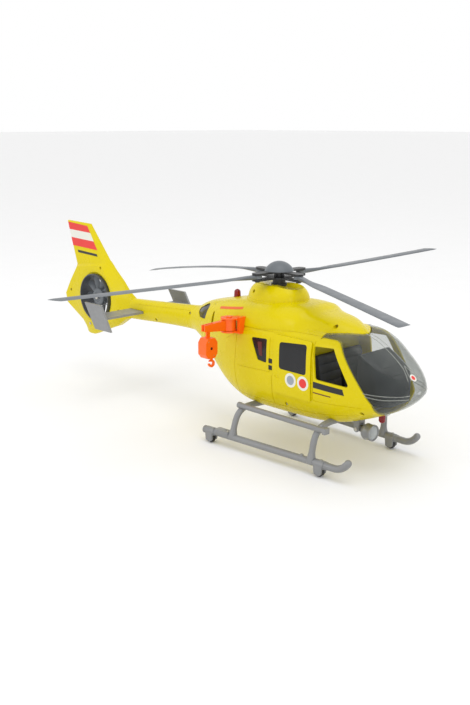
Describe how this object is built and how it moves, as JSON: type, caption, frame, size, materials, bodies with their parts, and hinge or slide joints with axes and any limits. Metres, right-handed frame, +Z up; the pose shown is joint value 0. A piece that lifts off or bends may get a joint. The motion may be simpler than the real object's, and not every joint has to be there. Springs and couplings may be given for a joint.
{
  "type": "toy helicopter",
  "caption": "Toy rescue helicopter with a folding-blade rotor, ducted tail fan, opening canopy, sliding doors, wheeled skids and a side-mounted hand winch with hook.",
  "frame": {"origin": "on the surface it stands on, in the middle of its overall length and width", "axes": "+X towards the nose, +Y to the helicopter's left, +Z up"},
  "size_m": [0.6906, 0.5722, 0.2275],
  "materials": {
    "body_yellow": "glossy moulded ABS",
    "interior_yellow": "satin moulded ABS",
    "interior_dark": "matt moulded plastic",
    "clear_plastic": "clear moulded polystyrene",
    "window_dark": "smoked glossy plastic",
    "beacon_red": "translucent red plastic",
    "hub_black": "satin black plastic",
    "blade_grey": "satin grey plastic",
    "gear_grey": "satin silver-grey plastic",
    "tyre_black": "hard black plastic",
    "winch_orange": "bright orange moulded plastic",
    "steel": "zinc plated",
    "cord_black": "braided polyester cord"
  },
  "bodies": {
    "airframe": {"shell_right": "body_yellow", "shell_left": "body_yellow", "shell_screws": "steel", "quarter_windows": "window_dark", "rear_windows": "window_dark", "vent_plugs": "window_dark", "cabin_floor": "interior_yellow", "bulkhead": "interior_yellow", "pilot_seats": "interior_dark", "instrument_panel": "interior_dark", "mast_bush": "hub_black", "beacon_top": "beacon_red", "beacon_belly": "beacon_red", "searchlight_bracket": "gear_grey", "searchlight_pin": "steel", "fan_duct": "gear_grey", "fan_shaft": "steel", "tailplane": "gear_grey", "end_plate_right": "gear_grey", "end_plate_left": "gear_grey", "skid_right": "gear_grey", "skid_left": "gear_grey", "cross_tube_front": "gear_grey", "cross_tube_rear": "gear_grey", "step_bar_right": "gear_grey", "step_bar_left": "gear_grey", "wheel_axles": "steel", "winch_bracket": "winch_orange", "winch_pivot_pin": "winch_orange"},
    "canopy": {"canopy": "clear_plastic", "canopy_latch": "clear_plastic"},
    "door_right": {"door_right": "body_yellow", "door_window_right": "window_dark"},
    "door_left": {"door_left": "body_yellow", "door_window_left": "window_dark"},
    "searchlight": {"searchlight_housing": "gear_grey", "searchlight_lens": "clear_plastic"},
    "rotor": {"rotor_mast": "hub_black", "hub_plate_lower": "hub_black", "hub_plate_upper": "hub_black", "hub_cap": "blade_grey", "blade_pins": "hub_black"},
    "blade_1": {"blade_1": "blade_grey"},
    "blade_2": {"blade_2": "blade_grey"},
    "blade_3": {"blade_3": "blade_grey"},
    "blade_4": {"blade_4": "blade_grey"},
    "tail_fan": {"tail_fan": "gear_grey"},
    "wheel_front_right": {"wheel_front_right": "tyre_black"},
    "wheel_front_left": {"wheel_front_left": "tyre_black"},
    "wheel_rear_right": {"wheel_rear_right": "tyre_black"},
    "wheel_rear_left": {"wheel_rear_left": "tyre_black"},
    "winch_arm": {"winch_arm": "winch_orange"},
    "winch_case": {"winch_hanger": "winch_orange", "winch_case_front": "winch_orange", "winch_case_rear": "winch_orange", "winch_case_screws": "steel"},
    "winch_drum": {"winch_drum": "hub_black", "winch_crank": "winch_orange"},
    "hook": {"hoist_hook": "winch_orange", "hoist_cord": "cord_black"}
  },
  "joints": [
    {"name": "rotor_spin", "type": "hinge", "parent": "airframe", "child": "rotor", "pos_m": [0.0844, 0, 0.1965], "axis": [0, 0, 1], "continuous": true},
    {"name": "blade_1_fold", "type": "hinge", "parent": "rotor", "child": "blade_1", "pos_m": [0.11724, -0.00322, 0.1965], "axis": [0, 0, 1], "range_deg": [-54, 96]},
    {"name": "blade_2_fold", "type": "hinge", "parent": "rotor", "child": "blade_2", "pos_m": [0.08762, 0.03284, 0.1965], "axis": [0, 0, 1], "range_deg": [-78, 72]},
    {"name": "blade_3_fold", "type": "hinge", "parent": "rotor", "child": "blade_3", "pos_m": [0.05156, 0.00322, 0.1965], "axis": [0, 0, 1], "range_deg": [-72, 78]},
    {"name": "blade_4_fold", "type": "hinge", "parent": "rotor", "child": "blade_4", "pos_m": [0.08118, -0.03284, 0.1965], "axis": [0, 0, 1], "range_deg": [-74, 76]},
    {"name": "fan_spin", "type": "hinge", "parent": "airframe", "child": "tail_fan", "pos_m": [-0.2645, 0, 0.124], "axis": [0, 1, 0], "continuous": true},
    {"name": "wheel_front_right_spin", "type": "hinge", "parent": "airframe", "child": "wheel_front_right", "pos_m": [0.206, -0.0629, 0.0046], "axis": [-0.054, 0.9985, 0], "continuous": true},
    {"name": "wheel_front_left_spin", "type": "hinge", "parent": "airframe", "child": "wheel_front_left", "pos_m": [0.206, 0.0629, 0.0046], "axis": [0.054, 0.9985, 0], "continuous": true},
    {"name": "wheel_rear_right_spin", "type": "hinge", "parent": "airframe", "child": "wheel_rear_right", "pos_m": [0.045, -0.0716, 0.0046], "axis": [-0.054, 0.9985, 0], "continuous": true},
    {"name": "wheel_rear_left_spin", "type": "hinge", "parent": "airframe", "child": "wheel_rear_left", "pos_m": [0.045, 0.0716, 0.0046], "axis": [0.054, 0.9985, 0], "continuous": true},
    {"name": "canopy_open", "type": "hinge", "parent": "airframe", "child": "canopy", "pos_m": [0.191, 0, 0.1475], "axis": [0, -1, 0], "range_deg": [0, 45]},
    {"name": "door_right_slide", "type": "slide", "parent": "airframe", "child": "door_right", "axis": [-1, 0, 0], "range_m": [0, 0.046]},
    {"name": "door_left_slide", "type": "slide", "parent": "airframe", "child": "door_left", "axis": [-1, 0, 0], "range_m": [0, 0.046]},
    {"name": "searchlight_tilt", "type": "hinge", "parent": "airframe", "child": "searchlight", "pos_m": [0.214, -0.008, 0.043], "axis": [0, 1, 0], "range_deg": [-5, 60]},
    {"name": "winch_arm_swing", "type": "hinge", "parent": "airframe", "child": "winch_arm", "pos_m": [0.06, -0.057, 0.141], "axis": [0, 0, 1], "range_deg": [-80, 20]},
    {"name": "winch_case_swing", "type": "hinge", "parent": "winch_arm", "child": "winch_case", "pos_m": [0.06, -0.09, 0.143], "axis": [1, 0, 0], "range_deg": [-30, 20]},
    {"name": "winch_drum_turn", "type": "hinge", "parent": "winch_case", "child": "winch_drum", "pos_m": [0.06, -0.09, 0.1202], "axis": [1, 0, 0], "range_deg": [0, 1000]},
    {"name": "hook_lower", "type": "slide", "parent": "winch_case", "child": "hook", "axis": [0, 0, -1], "range_m": [0, 0.08727], "deforming": ["hoist_cord"]}
  ],
  "couplings": [
    {"joint": "hook_lower", "follows": "winch_drum_turn", "m_per_rad": 0.005}
  ]
}
